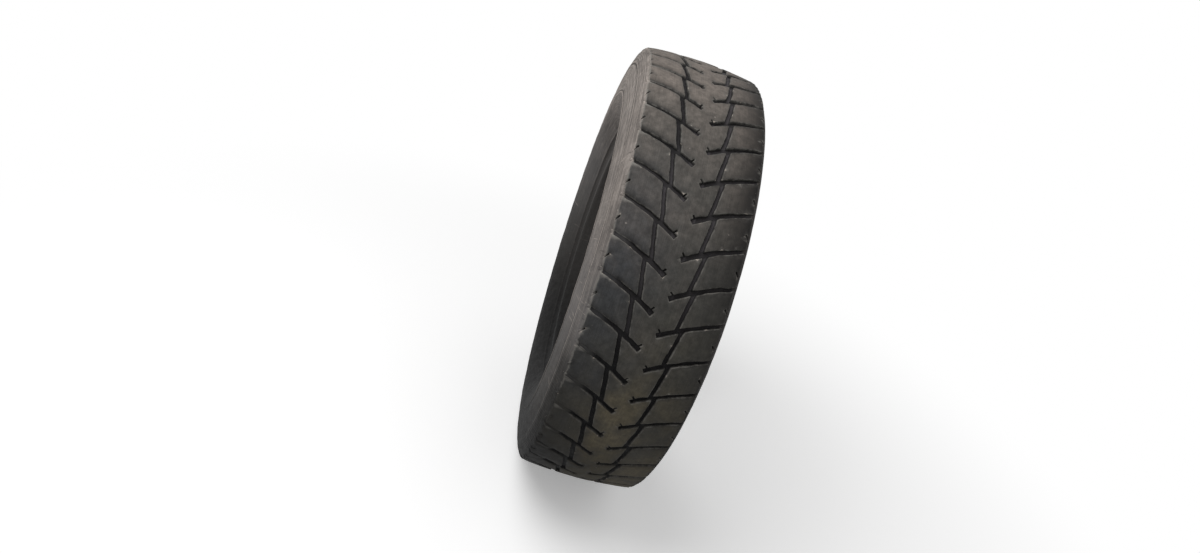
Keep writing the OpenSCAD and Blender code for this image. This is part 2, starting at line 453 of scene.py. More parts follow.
def slitChips(s, v, t):
    # 1 where the rubber below a slit in the tread's edge has broken away
    along = np.mod(np.where(v < 0, s, s + pitchLength / 2), pitchLength)
    low = pitchLength / 2 - t["slitDrop"] - t["chipBelowSlit"]
    start = treadEdge - 2 * mm
    run, out = t["chipRun"]
    field = straightField(along, np.abs(v), (low, start), (low - run, start + out), t["chipWidth"], 1.5 * mm)
    return 1 - smoothStep(0, 1.2 * mm, field)


def grooveDepthAt(angle, v, t):
    # what is left of the grooves: shallow towards the left edge and almost gone on one stretch of it
    def stretch(place):
        middle, full, end = (math.radians(a) for a in place)
        return smoothStep(math.cos(end), math.cos(full), np.cos(angle - middle))

    worn = stretch(t["wornStretch"])
    shallow = stretch(t["shallowStretch"])
    everywhere, whereShallow, whereWorn = t["leftWear"]
    lost = everywhere + whereShallow * shallow + whereWorn * worn
    left = 1 - lost * smoothStep(*t["leftWearAcross"], -v)
    left += t["leftKept"] * shallow * (1 - worn) * smoothStep(*t["leftKeptAcross"], -v)
    right = 1 - t["rightWear"] * smoothStep(*t["rightWearAcross"], v)
    end = 1 - smoothStep(treadEdge + 1 * mm, t["grooveEnd"] - 0.5 * mm, np.abs(v))
    return t["grooveDepth"] * left * right * end * (1 + 0.1 * depthWaves(angle, v))


def surfaceWearAt(angle, v, gap, above, below, slitChip, t):
    # rubber lost from the blocks themselves: uneven, softer towards the grooves, chipped at their edges
    uneven = np.maximum(t["unevenness"] * (1 + wearWaves(angle, v)), 0)
    left = t["leftLoss"] * smoothStep(*t["leftLossAcross"], -v) * (1 + 0.3 * depthWaves(angle, v))
    soft = np.interp(v, (-60 * mm, 60 * mm), t["softEdge"]) * np.exp(-np.maximum(gap, 0) / t["softReach"])
    heel = t["heelWear"] * above ** 3 * smoothStep(*t["heelAcross"], -v)
    heel += t["toeWear"] * below ** 4 * smoothStep(*t["toeAcross"], v)
    chips = smoothStep(1.5, 2.3, chipWaves(angle, v)) * (gap < t["chipReach"])
    chips = np.maximum(chips, slitChip * smoothStep(-0.6, 0.2, wearWaves(angle + 3, v)))
    soft = soft * (1 + 0.4 * wearWaves(angle + 1, v))
    return uneven + left + soft + heel + t["chipDepth"] * chips, chips


def placePoints(angle, v, inward):
    # from the unrolled tread to the tyre
    side, r = pointAt(outsideLine, outsideLength, np.abs(v)).T
    turn = math.pi / 2 * smoothStep(treadEdge - 10 * mm, treadEdge + 10 * mm, np.abs(v))
    return turnedPoints(np.sign(v) * (side - inward * np.sin(turn)), r - inward * np.cos(turn), angle)


depthWaves = makeWaves(3, 24, 60 * mm, 400 * mm)
wearWaves = makeWaves(4, 32, 25 * mm, 160 * mm)
warpWaves = makeWaves(5, 40, 14 * mm, 70 * mm)
chipWaves = makeWaves(6, 60, 7 * mm, 22 * mm)


def buildTread(t):
    # worn skin of the tread: its places and triangles, and what the material needs at each point
    rows, edges = treadPoints(t)
    first = len(rows)
    border, borderEdges = borderPoints(t, first)
    free, freeGap = freePoints(t)
    rows = np.concatenate([rows, border, np.column_stack([free, np.full(len(free), -1)])])
    s, v, ring = rows.T
    rings = [ring == k for k in range(len(t["ringOffsets"]))]
    gap = np.select(rings, t["ringOffsets"], 20 * mm)      # distance from a groove
    gap[len(gap) - len(free):] = freeGap
    angle = s / outerRadius
    above, below = besideLaterals(s, v, t)
    slitChip = slitChips(s, v, t)
    hold = 1 - smoothStep(t["reach"] - 5 * mm, t["reach"], np.abs(v))   # the border stays true
    shift = t["warp"] * hold * warpWaves(angle, v)
    angle, v = angle + t["warp"] * hold * warpWaves(angle + 1, v) / outerRadius, v + shift
    ringRadius = np.exp(v / outerRadius)          # keeps every angle as it is on the tyre
    flat = [Vector(p) for p in np.stack([ringRadius * np.cos(angle), ringRadius * np.sin(angle)], 1).tolist()]
    _, _, faces, origins, _, _ = delaunay_2d_cdt(flat, edges + borderEdges, [], 0, 1e-7, True)
    origin = np.array([o[0] if o else -1 for o in origins])
    faces = origin[np.array(faces)]
    print("tread:", len(flat), "points,", len(faces), "triangles,", (origin < 0).sum(), "crossings")
    hole = (faces >= first) & (faces < first + t["borderCount"])
    faces = faces[~hole.all(axis=1)]
    depth = np.maximum(grooveDepthAt(angle, v, t), 0)
    lip, lateral = below, np.maximum(above, below)
    share = grooveDepthAt(angle, np.clip(v, -treadEdge, treadEdge), t) / t["grooveDepth"]
    present = smoothStep(0.1, 0.5, share)         # no heel wear where the grooves are gone
    above, below = above * present, below * present
    rounding = np.minimum(t["rounding"] * (1 + 0.35 * wearWaves(angle + 2, v)), 0.4 * depth)
    foot = np.minimum(t["foot"], 0.15 * depth)
    inward = np.select(rings[1:], [0.28 * rounding, rounding, depth - foot, depth], 0)
    wear, chips = surfaceWearAt(angle, v, gap, above, below, slitChip, t)
    places = placePoints(angle, v, inward + wear * hold * (ring < 3))
    fullDepth = np.interp(np.abs(v), t["markedAcross"], t["markedDepth"])
    deepEnough = np.clip((depth - 0.4 * mm) / fullDepth, 0, 1)
    marks = {
        "grooveDepth": inward / t["grooveDepth"],
        "grooveWall": np.select(rings[1:4], [0.15, 0.9, 1], 0) * deepEnough,
        "edgeWearAndRibHighlight": np.maximum(np.select(rings[:3], [0.2, 0.8, 0.7], 0) * deepEnough, chips * (ring < 3)),
        "nearGroove": np.exp(-np.maximum(gap, 0) / (8 * mm)),
        "aboveGroove": above,
        "belowGroove": below,
        "grooveLip": lip,
        "lateral": lateral,
        "acrossPlace": v,
    }
    return places, faces, marks, first


# sidewalls, beads and inside, turned about the axle

sideSettings = {
    "ribFrom": 16 * mm,            # first fine rib, from the tread's edge
    "ribStep": 6 * mm,
    "ribCount": 4,
    "ribHeight": 0.7 * mm,
    "ribWidth": 2.2 * mm,
    "rimLineDiameter": 650 * mm,
    "rowStep": 7 * mm,
    "beadLength": 64 * mm,         # finer rows from here to the toe
    "beadStep": 3 * mm,
    "insideStep": 16 * mm,
    "panelDepth": 1.2 * mm,        # shallow turned panel where the wall is widest
    "panel": (46 * mm, 119 * mm),  # from the tread's edge
    "waviness": 0.4 * mm,
}


def ribPlaces(s):
    wall = outsideLine[:, 1] < sectionSettings["widestDiameter"] / 2
    rimLine = float(np.interp(-s["rimLineDiameter"] / 2, -outsideLine[wall, 1], outsideLength[wall]))
    return [treadEdge + s["ribFrom"] + k * s["ribStep"] for k in range(s["ribCount"])] + [rimLine]


def sideRows(s, reach):
    # distances along the outside, closer together at the ribs and the bead
    total = outsideLength[-1]
    bead = total - s["beadLength"]
    rows = np.concatenate([np.arange(reach + s["rowStep"], bead, s["rowStep"]),
                           np.arange(bead, total, s["beadStep"]), [total]])
    ribs = ribPlaces(s)
    steps = [treadEdge + edge for edge in s["panel"]]
    far = np.abs(rows[:, None] - np.array(ribs + steps)).min(axis=1) > s["ribWidth"]
    near = [rib + k * s["ribWidth"] for rib in ribs for k in (-0.7, -0.25, 0.25, 0.7)]
    near += [step + k * mm for step in steps for k in (-0.8, 0.8)]
    near = [v for v in near if v > reach + 0.5 * mm]
    return np.sort(np.concatenate([rows[far], near]))


def buildSides(s, t):
    # rows of points from the right end of the tread's skin round the inside to the left end
    count = t["borderCount"]
    angle = 2 * math.pi * np.arange(count) / count
    places, marks = [], {"edgeWearAndRibHighlight": [], "acrossPlace": []}

    def addRow(across, r, wear, v):
        places.append(turnedPoints(across, r, angle))
        marks["edgeWearAndRibHighlight"].append(np.full(count, wear))
        marks["acrossPlace"].append(np.full(count, v))

    rows = sideRows(s, t["reach"])
    ribs = np.array(ribPlaces(s))
    insideRows = np.arange(s["insideStep"], insideLength[-1] - s["insideStep"] / 2, s["insideStep"])

    def addOutside(side, order):
        for v in order:
            point = pointAt(outsideLine, outsideLength, v)
            inward = inwardAt(outsideLine, outsideLength, v)
            rib = max(0.0, 1 - np.abs(v - ribs).min() / (0.7 * s["ribWidth"]))
            raised = s["ribHeight"] * smoothStep(0, 0.6, rib)
            start, end = (v - treadEdge - edge for edge in s["panel"])
            panel = s["panelDepth"] * float(start > 0 > end)
            beadTrue = smoothStep(-70 * mm, -58 * mm, v - outsideLength[-1])
            free = smoothStep(0, 12 * mm, v - t["reach"]) * (1 - beadTrue)
            uneven = np.maximum(s["waviness"] * free * (1 + 0.6 * wearWaves(angle, side * v)), 0)
            move = panel + uneven - raised
            addRow(side * (point[0] + move * inward[0]), point[1] + move * inward[1],
                   # rib tops take the pale edge mark: a painted highlight
                   0.7 * (rib > 0.3), side * v)

    def addInside(side, order):
        for v in order:
            point = pointAt(insideLine, insideLength, v)
            addRow(side * point[0], point[1], 0, side * (outsideLength[-1] + v))

    addOutside(1, rows)
    addInside(1, insideRows)
    addInside(1, insideLength[-1:])
    addInside(-1, insideRows[::-1])
    addOutside(-1, rows[::-1])
    print("sides:", len(places), "rows of", count)
    return np.concatenate(places), {k: np.concatenate(m) for k, m in marks.items()}, len(places), len(rows)


def addObject(name, data):
    made = bpy.data.objects.new(name, data)
    bpy.context.collection.objects.link(made)
    return made


def buildTyre(t, s):
    treadPlaces, triangles, treadMarks, border = buildTread(t)
    sidePlaces, sideMarks, rowCount, outsideRows = buildSides(s, t)
    count, first = t["borderCount"], len(treadPlaces)
    start = [border + count] + [first + k * count for k in range(rowCount)] + [border]
    k = np.arange(count)
    after = (k + 1) % count
    quads = np.concatenate([np.stack([a + k, b + k, b + after, a + after], 1)
                            for a, b in zip(start, start[1:])])
    places = np.concatenate([treadPlaces, sidePlaces])
    places[:, 2] = np.maximum(places[:, 2], groundLevel)      # pressed flat where it stands
    mesh = bpy.data.meshes.new("wornTyre")
    mesh.from_pydata(places.tolist(), [], triangles.tolist() + quads.tolist())
    mesh.shade_smooth()
    for name, values in treadMarks.items():
        values = np.concatenate([values, sideMarks.get(name, np.zeros(len(sidePlaces)))])
        mesh.attributes.new(name, "FLOAT", "POINT").data.foreach_set("value", values.astype(np.float32))
    lining = np.zeros(len(mesh.polygons), int)
    lining[len(triangles) + outsideRows * count:len(lining) - outsideRows * count] = 1
    mesh.polygons.foreach_set("material_index", lining)
    tyre = addObject("worn_tyre", mesh)
    loopEdges = np.zeros(len(mesh.loops), int)
    mesh.loops.foreach_get("edge_index", loopEdges)
    closed = set(np.bincount(loopEdges)) == {2}
    print("tyre:", len(triangles) + 2 * len(quads), "triangles, closed:", closed)
    return tyre


tyre = buildTyre(treadSettings, sideSettings)


def linear(*levels):
    # a colour as the shader wants it, from levels of 0 to 255
    shares = [level / 255 for level in levels]
    return tuple(c / 12.92 if c <= 0.04045 else ((c + 0.055) / 1.055) ** 2.4 for c in shares) + (1,)


def fill(tree, node, inputs):
    for name, value in inputs.items():
        if isinstance(value, bpy.types.NodeSocket):
            tree.links.new(value, node.inputs[name])
        else:
            node.inputs[name].default_value = value
    return node


def addNode(tree, kind, inputs=None, **settings):
    node = tree.nodes.new("ShaderNode" + kind)
    for name, value in settings.items():
        setattr(node, name, value)
    return fill(tree, node, inputs or {})


def calc(tree, operation, a, b=0.0, clamp=False):
    return addNode(tree, "Math", {0: a, 1: b}, operation=operation, use_clamp=clamp).outputs[0]


def remap(tree, value, low, high, toLow=0.0, toHigh=1.0):
    return addNode(tree, "MapRange", {"Value": value, "From Min": low, "From Max": high,
                                      "To Min": toLow, "To Max": toHigh},
                   interpolation_type="SMOOTHSTEP").outputs["Result"]


def plus(tree, a, b, clamp=False):
    return calc(tree, "ADD", a, b, clamp)


def minus(tree, a, b, clamp=False):
    return calc(tree, "SUBTRACT", a, b, clamp)


def times(tree, first, *others):
    for other in others:
        first = calc(tree, "MULTIPLY", first, other)
    return first


def noise(tree, vector, scale, detail=3.0, roughness=0.5):
    return addNode(tree, "TexNoise", {"Vector": vector, "Scale": scale, "Detail": detail,
                                      "Roughness": roughness}).outputs["Fac"]


def mixColor(tree, fac, a, b, blend="MIX"):    # inputs 6 and 7 are its colours
    return addNode(tree, "Mix", {"Factor": fac, 6: a, 7: b}, data_type="RGBA", blend_type=blend).outputs[2]


def newGroup(name, inputs, outputs):
    # a node group with number inputs and outputs
    group = bpy.data.node_groups.new(name, "ShaderNodeTree")
    for label, value in inputs.items():
        group.interface.new_socket(label, in_out="INPUT", socket_type="NodeSocketFloat").default_value = value
    for label in outputs:
        group.interface.new_socket(label, in_out="OUTPUT", socket_type="NodeSocketFloat")
    entry = group.nodes.new("NodeGroupInput").outputs
    leave = group.nodes.new("NodeGroupOutput").inputs
    return group, entry, leave


def useGroup(tree, group, **values):
    return fill(tree, addNode(tree, "Group", node_tree=group), values).outputs


def objectPlace(tree):
    return addNode(tree, "TexCoord").outputs["Object"]


def attribute(tree, name):
    return addNode(tree, "Attribute", attribute_name=name).outputs["Fac"]


def parts(tree, vector):
    return addNode(tree, "SeparateXYZ", {0: vector}).outputs


def combined(tree, x, y, z):
    return addNode(tree, "CombineXYZ", {0: x, 1: y, 2: z}).outputs[0]


def fromAxle(tree):
    place = parts(tree, objectPlace(tree))
    return combined(tree, place["X"], 0, place["Z"])


def stretchedPlace(tree, around, across):
    # a seamless vector for streaks that run round the tyre or across it
    turn = parts(tree, addNode(tree, "VectorMath", {0: fromAxle(tree)}, operation="NORMALIZE").outputs[0])
    return combined(tree, times(tree, turn["X"], around),
                times(tree, attribute(tree, "acrossPlace"), across), times(tree, turn["Z"], around))


def buildGrain():
    # fine worn grain with small pits, as a height and a mottle
    group, entry, leave = newGroup("rubberGrain", {"Fineness": 900, "Pitting": 0.4}, ("Height", "Mottle"))
    place = objectPlace(group)
    fine = noise(group, place, entry["Fineness"], 3, 0.6)
    broad = noise(group, place, times(group, entry["Fineness"], 0.09), 4, 0.6)
    cells = addNode(group, "TexVoronoi", {"Vector": place, "Scale": times(group, entry["Fineness"], 0.3)})
    pit = remap(group, cells.outputs["Distance"], 0.0, 0.28, 1, 0)
    rare = remap(group, noise(group, place, 70, 2), 0.55, 0.7)
    pits = times(group, pit, rare, entry["Pitting"])
    height = plus(group, times(group, fine, 0.5), times(group, broad, 0.5))
    mottle = plus(group, times(group, broad, 0.7), times(group, fine, 0.3))
    group.links.new(minus(group, height, pits), leave["Height"])
    group.links.new(mottle, leave["Mottle"])
    return group


def buildDust():
    # dry dust: more of it high up and on faces that look up, in patches
    group, entry, leave = newGroup("dryDust", {"Level": 0.1, "Patchiness": 0.5, "Settled": 0.5}, ("Mask",))
    place = objectPlace(group)
    high = remap(group, parts(group, place)["Z"], -0.2, 0.7)
    up = remap(group, parts(group, addNode(group, "NewGeometry").outputs["Normal"])["Z"], 0.35, 1.05)
    settled = times(group, plus(group, times(group, high, 0.5), times(group, up, 0.5)), entry["Settled"])
    patchy = times(group, minus(group, noise(group, place, 16, 7, 0.7), 0.5), entry["Patchiness"])
    total = plus(group, plus(group, entry["Level"], settled), patchy, clamp=True)
    group.links.new(total, leave["Mask"])
    return group


def buildEdgeRubAndRibHighlight():
    # pale scuffing along the edges of blocks, and a painted highlight on the tops of the ribs, broken up
    group, entry, leave = newGroup("edgeRubAndRibHighlight", {"Amount": 1.0, "Breakup": 0.5}, ("Mask",))
    edge = attribute(group, "edgeWearAndRibHighlight")
    rough = remap(group, noise(group, objectPlace(group), 55, 4, 0.7), 0.38, 0.62)
    lost = times(group, minus(group, 1.0, rough), entry["Breakup"])
    kept = times(group, edge, minus(group, 1.0, lost))
    group.links.new(calc(group, "MULTIPLY", kept, entry["Amount"], clamp=True), leave["Mask"])
    return group


def buildRoundStreaks():
    # fine streaks that run round the tyre and fade in and out along their length
    group, entry, leave = newGroup("roundStreaks", {"Fineness": 300.0, "Shortness": 4.0}, ("Streak",))
    place = stretchedPlace(group, entry["Shortness"], entry["Fineness"])
    group.links.new(noise(group, place, 1, 4, 0.65), leave["Streak"])
    return group


def buildHairMarks():
    # thin dry cracks and scrapes that run from bead to tread
    group, entry, leave = newGroup("hairMarks", {"Density": 60.0, "Length": 14.0, "Amount": 0.5}, ("Mask",))
    place = stretchedPlace(group, entry["Density"], entry["Length"])
    lines = remap(group, noise(group, place, 1, 3, 0.6), 0.62, 0.72)
    where = remap(group, noise(group, objectPlace(group), 9, 3), 0.42, 0.6)
    group.links.new(times(group, lines, where, entry["Amount"]), leave["Mask"])
    return group


def buildSpecks():
    # sparse pale nicks and grit
    group, entry, leave = newGroup("specks", {"Density": 60.0, "Rarity": 0.7}, ("Mask",))
    place = objectPlace(group)
    cells = addNode(group, "TexVoronoi", {"Vector": place, "Scale": entry["Density"]}).outputs
    size = addNode(group, "SeparateColor", {0: cells["Color"]}).outputs
    present = remap(group, size[0], entry["Rarity"], plus(group, entry["Rarity"], 0.02))
    apart = plus(group, cells["Distance"], times(group, noise(group, place, 400, 3), 0.12))
    reach = plus(group, 0.1, times(group, size[1], 0.1))
    spot = remap(group, apart, 0.06, reach, 1, 0)
    group.links.new(times(group, spot, present), leave["Mask"])
    return group


grainGroup = buildGrain()
dustGroup = buildDust()
rubAndRibHighlightGroup = buildEdgeRubAndRibHighlight()
streakGroup = buildRoundStreaks()
hairGroup = buildHairMarks()
speckGroup = buildSpecks()


def newMaterial(name):
    material = bpy.data.materials.new(name)
    material.use_nodes = True
    tree = material.node_tree
    return material, tree, tree.nodes["Principled BSDF"]


def bumped(tree, relief, strength):
    bump = addNode(tree, "Bump", {"Strength": strength, "Distance": 1.0 * mm, "Height": relief})
    return bump.outputs["Normal"]


def shaded(tree, color, mottle, darkest, lightest):
    shade = remap(tree, mottle, 0.3, 0.7, darkest, lightest)
    grey = addNode(tree, "CombineColor", {0: shade, 1: shade, 2: shade}).outputs[0]
    return mixColor(tree, 1.0, color, grey, "MULTIPLY")


rubberLook = {
    "block": linear(71, 70, 67),
    "coolBlock": linear(61, 62, 64),
    "earth": linear(98, 92, 78),
    "settledEarth": linear(112, 104, 86),
    "blockDust": linear(125, 116, 109),
    # dark colour for the painted shade in and beside the grooves, on the right side and low down; also the
    # colour of the cracks
    "groove": linear(8, 8, 9),
    "joinFloor": linear(66, 63, 65),
    "lateralFloor": linear(46, 44, 45),
    "wall": linear(108, 103, 100),
    "wallDust": linear(180, 170, 162),
    "coolWall": linear(98, 98, 99),
    "shadedLowWall": linear(60, 57, 52),
    "lowShoulderShade": linear(20, 20, 18),
    "shadedRightEdge": linear(40, 38, 37),
    "bead": linear(56, 53, 51),
    "paleWearAndHighlight": linear(130, 127, 122),
    "chip": linear(176, 166, 156),
}

# Where each effect starts and where it is full, then its amount at both if that isn't 0 and 1.
# "Height" is above the axle, "Side" is along the axle from left to right, and "Across" is the
# distance along the rubber from the middle of the tread, or from its edge where "Past" says so.
rubberWear = {
    "coolHeight": (-0.35, 0.05),
    "coolEnd": (0.28, 0.48, 0, -1),
    "coolSide": (0.04, -0.1),
    "earthHeight": (0.25, -0.15),
    "earthPatch": (0.3, 0.65, 0.15, 1),
    "earthSide": (-0.12, -0.02, 0.3, 1),
    "cakedAcross": (0.055, 0.02, 0, 0.8),
    "cakedHeight": (0.12, -0.12),
    "cakedEnd": (-0.38, -0.24),
    "dustHeight": (0.36, 0.5, -0.03, 0.05),
    "darkerBandHeight": (0.33, 0.38, 0, 0.2),
    "darkerBandEnd": (0.48, 0.51, 0, 0.22),
    "darkerBandSide": (0.08, 0.04),
    "shadedRightSide": (0.04, 0.14, 0, 0.95),
    "shadedRightSideHeight": (0.05, 0.4, 0.3, 1),
    "leftAcross": (-0.03, -0.1),
    "rightAcross": (0.02, 0.06),
    "aboveGroove": (0.5, 1.0, 0, 0.6),
    "belowGroove": (0.55, 1.0, 0, 0.55),
    "inLateral": (0.85, 0.98),
    "rubbedAcross": (-0.092, -0.118, 0, 0.8),
    "rubbedHeight": (0.27, 0.36),
    "lateralEdge": (0.84, 0.95, 0, 0.7),
    "lateralEdgeHeight": (0.33, 0.45),
    "floorDepth": (0.1, 0.7),
    "lowGrooveShadeHeight": (0.3, 0.0, 0, 0.95),
    "highGrooveDarkHeight": (0.36, 0.44, 0, 0.75),
    "highGrooveDarkAcross": (0.0, -0.03),
    "torn": (0.3, 0.55, 0.35, 1),
    "notInGroove": (0.15, 0.05),
    "lipHighlightFrom": (-0.104, -0.13, 0.9, 0.45),
    "lipHighlightFull": 0.97,
    "lipHighlightAcross": (-0.1, -0.128),
    "tipNear": (0.6, 1.0),
    "tipAcross": (-0.065, -0.035),
    "tipEnd": (0.0, -0.01),
    "tipHeight": (0.08, -0.08, 0, 0.6),
    "lowShadeHeight": (0.12, -0.4, 0, 0.85),
    "coolWallHeight": (0.32, 0.1, 0, 0.45),
    "cleanRadius": (0.3275, 0.3235, 0, 0.7),        # the rim's flange kept this clean
    "raggedHeight": (0.2, -0.05, 5 * mm, 16 * mm),
    "softEdgeHeight": (0.25, -0.25, 1 * mm, 8 * mm),
    "shadedShoulderSide": (0.0, 0.1, 0, 0.85),
    "shadedShoulderPast": (12 * mm, 34 * mm, 1, 0),
    "lowShoulderShadeHeight": (0.11, -0.06, 0, 0.8),
    "lowShoulderShadePast": (24 * mm, 70 * mm, 1, 0.35),
    "lowShoulderShadePatch": (0.3, 0.6, 0.85, 1),
    "rimPast": (-4 * mm, 0),
    "rimEnd": (1 * mm, 5 * mm, 1, 0),
    "rimSide": (0.1, -0.1),
    "rimHeight": (-0.2, 0.0, 0.15, 0.6),
    "rimPatch": (0.42, 0.58, 0.1, 1),
    "mouthDepth": (0.12, 0.4, 0, 0.9),
    "mouthPast": (-6 * mm, -2 * mm),
    "mouthHeight": (0.1, 0.25),
    "chipped": (0.82, 0.98, 0, 0.85),
    "leftFootShadeHeight": (0.1, -0.38, 0, 0.85),
    "leftFootShadeSide": (0.01, -0.12),
    "footShadeHeight": (-0.12, -0.3, 0, 0.65),
    "footShadeSide": (0.1, 0.02),
    "treadMottle": (0.66, 1.34),       # from here on: how dark and how light the shading goes
    "treadStreak": (0.84, 1.16),
    "treadPatches": (0.9, 1.1),
    "wallMottle": (0.78, 1.2),
    "wallStreak": (0.7, 1.28),
    "wallBroadStreak": (0.74, 1.24),
    "wallPatches": (0.74, 1.2),
    "panelLine": 3 * mm,               # half width of the lines at both edges of the panel
}


def ringAt(tree, across, place, halfWidth):
    # 1 along a line round the sidewall, fading to 0 beside it
    apart = calc(tree, "ABSOLUTE", minus(tree, across, place))
    return remap(tree, apart, halfWidth * 0.3, halfWidth, 1, 0)


def rubberMaterial(look, wear):
    material, tree, shader = newMaterial("wornRubber")
    here = objectPlace(tree)
    side, height = parts(tree, here)["Y"], parts(tree, here)["Z"]
    radius = addNode(tree, "VectorMath", {0: fromAxle(tree)}, operation="LENGTH").outputs["Value"]
    marks = {name: attribute(tree, name) for name in (
        "grooveDepth", "grooveWall", "nearGroove", "aboveGroove", "belowGroove", "grooveLip", "lateral",
        "edgeWearAndRibHighlight", "acrossPlace")}
    across = marks["acrossPlace"]
    beside = calc(tree, "ABSOLUTE", across)
    grain = useGroup(tree, grainGroup, Fineness=900, Pitting=0.5)
    blockDust = useGroup(tree, dustGroup, Level=-0.07, Patchiness=0.6, Settled=0.72)["Mask"]
    wallDust = useGroup(tree, dustGroup, Level=0.05, Patchiness=0.7, Settled=1.0)["Mask"]
    rubAndRibHighlight = useGroup(tree, rubAndRibHighlightGroup, Amount=0.7, Breakup=0.8)["Mask"]
    streak = useGroup(tree, streakGroup, Fineness=420, Shortness=5)["Streak"]
    broadStreak = useGroup(tree, streakGroup, Fineness=170, Shortness=6)["Streak"]
    fineStreak = useGroup(tree, streakGroup, Fineness=1500, Shortness=9)["Streak"]
    hairs = useGroup(tree, hairGroup, Density=70, Length=14, Amount=0.6)["Mask"]
    cracks = useGroup(tree, hairGroup, Density=150, Length=24, Amount=0.5)["Mask"]
    specks = useGroup(tree, speckGroup, Density=55, Rarity=0.8)["Mask"]
    fineSpecks = useGroup(tree, speckGroup, Density=150, Rarity=0.85)["Mask"]

    def band(value, name):
        return remap(tree, value, *wear[name])

    def past(value, name):             # the same, measured from the tread's edge
        low, high, *amounts = wear[name]
        return remap(tree, value, treadEdge + low, treadEdge + high, *amounts)

    def patches(scale, detail, roughness, name):
        return band(noise(tree, here, scale, detail, roughness), name)

    def coat(under, color, *masks):    # a colour laid on through masks
        return mixColor(tree, times(tree, *masks), under, look[color])

    # blocks of the tread
    middle = plus(tree, band(height, "coolHeight"), band(height, "coolEnd"), clamp=True)
    tread = mixColor(tree, times(tree, middle, band(side, "coolSide")), look["block"], look["coolBlock"])
    patch = times(tree, patches(9, 5, 0.6, "earthPatch"), band(side, "earthSide"))
    tread = coat(tread, "earth", band(height, "earthHeight"), patch)
    tread = coat(tread, "settledEarth", band(beside, "cakedAcross"), band(height, "cakedHeight"),
                 band(height, "cakedEnd"), patch)
    # a band high up on the left is left darker, with less of the pale dust colour
    darkerHighBand = minus(tree, band(height, "darkerBandHeight"), band(height, "darkerBandEnd"))
    blockDust = plus(tree, blockDust, band(height, "dustHeight"))
    blockDust = minus(tree, blockDust, times(tree, darkerHighBand, band(side, "darkerBandSide")), clamp=True)
    tread = coat(tread, "blockDust", blockDust)
    for grey, shades in ((grain["Mottle"], wear["treadMottle"]), (fineStreak, wear["treadStreak"]),
                         (noise(tree, here, 30, 5, 0.7), wear["treadPatches"])):
        tread = shaded(tree, tread, grey, *shades)
    # painted shade: the tread darkened towards its right edge, more so higher up
    tread = coat(tread, "groove", band(side, "shadedRightSide"), band(height, "shadedRightSideHeight"))
    # painted shade: the blocks darkened near the grooves
    tread = coat(tread, "groove", marks["nearGroove"], 0.35)
    # painted shade: a soft dark band above each lateral groove on the left half and below each on the right
    # half
    above = times(tree, band(marks["aboveGroove"], "aboveGroove"), band(across, "leftAcross"))
    below = times(tree, band(marks["belowGroove"], "belowGroove"), band(across, "rightAcross"))
    tread = coat(tread, "groove", plus(tree, above, below))

    # grooves
    inLateral = band(marks["lateral"], "inLateral")
    rubbedOut = times(tree, band(across, "rubbedAcross"), band(height, "rubbedHeight"), inLateral)
    kept = minus(tree, 1.0, rubbedOut)
    tread = coat(tread, "groove", band(marks["lateral"], "lateralEdge"),
                 band(height, "lateralEdgeHeight"), kept)
    # painted shade: the groove floors darkened towards the bottom; they are also darker high up on the left
    highGrooveDark = times(tree, band(height, "highGrooveDarkHeight"), band(across, "highGrooveDarkAcross"))
    bottom = mixColor(tree, inLateral, look["joinFloor"], look["lateralFloor"])
    bottom = coat(bottom, "groove", plus(tree, band(height, "lowGrooveShadeHeight"), highGrooveDark))
    floor = times(tree, band(marks["grooveDepth"], "floorDepth"), kept)
    tread = mixColor(tree, floor, tread, bottom)
    # painted shade: the groove walls darkened
    tread = coat(tread, "groove", marks["grooveWall"], 0.9, kept)
    tread = coat(tread, "paleWearAndHighlight", rubAndRibHighlight)
    torn = patches(70, 4, 0.7, "torn")
    onBlock = band(marks["grooveDepth"], "notInGroove")
    # painted highlight: a pale line along the lower edge of each lateral groove near the left edge
    lip = remap(tree, marks["grooveLip"], band(across, "lipHighlightFrom"), wear["lipHighlightFull"])
    tread = coat(tread, "paleWearAndHighlight", lip, band(across, "lipHighlightAcross"), torn, onBlock)
    tread = coat(tread, "settledEarth", band(marks["grooveLip"], "tipNear"), band(across, "tipAcross"),
                 band(across, "tipEnd"), band(height, "tipHeight"), torn, onBlock)

    # shoulder and sidewall
    wall = mixColor(tree, wallDust, look["wall"], look["wallDust"])
    for grey, shades in ((grain["Mottle"], wear["wallMottle"]), (streak, wear["wallStreak"]),
                         (broadStreak, wear["wallBroadStreak"]),
                         (noise(tree, here, 5, 6, 0.65), wear["wallPatches"])):
        wall = shaded(tree, wall, grey, *shades)
    steps = [treadEdge + edge for edge in sideSettings["panel"]]
    inPanel = times(tree, remap(tree, beside, steps[0] - 1 * mm, steps[0] + 1 * mm),
                    remap(tree, beside, steps[1] - 1 * mm, steps[1] + 1 * mm, 1, 0))
    wall = coat(wall, "bead", minus(tree, 0.3, times(tree, inPanel, 0.3)))
    wall = coat(wall, "coolWall", band(height, "coolWallHeight"))
    # painted shade: the sidewall darkened towards the bottom
    wall = coat(wall, "shadedLowWall", band(height, "lowShadeHeight"))
    # pale scuffing on worn edges, and a painted highlight on the rib tops
    wall = coat(wall, "wallDust", rubAndRibHighlight, 0.6)
    # painted shade: a dark line just inside each edge of the sunk panel; beside it, outside the panel, a pale
    # line
    for step, inner in zip(steps, (2 * mm, -2 * mm)):
        wall = coat(wall, "groove", ringAt(tree, beside, step + inner, wear["panelLine"]), 0.75)
        wall = coat(wall, "wallDust", ringAt(tree, beside, step - inner, wear["panelLine"]), 0.7, torn)
    wall = coat(wall, "wallDust", hairs)
    wall = coat(wall, "groove", cracks)
    wall = coat(wall, "bead", band(radius, "cleanRadius"))

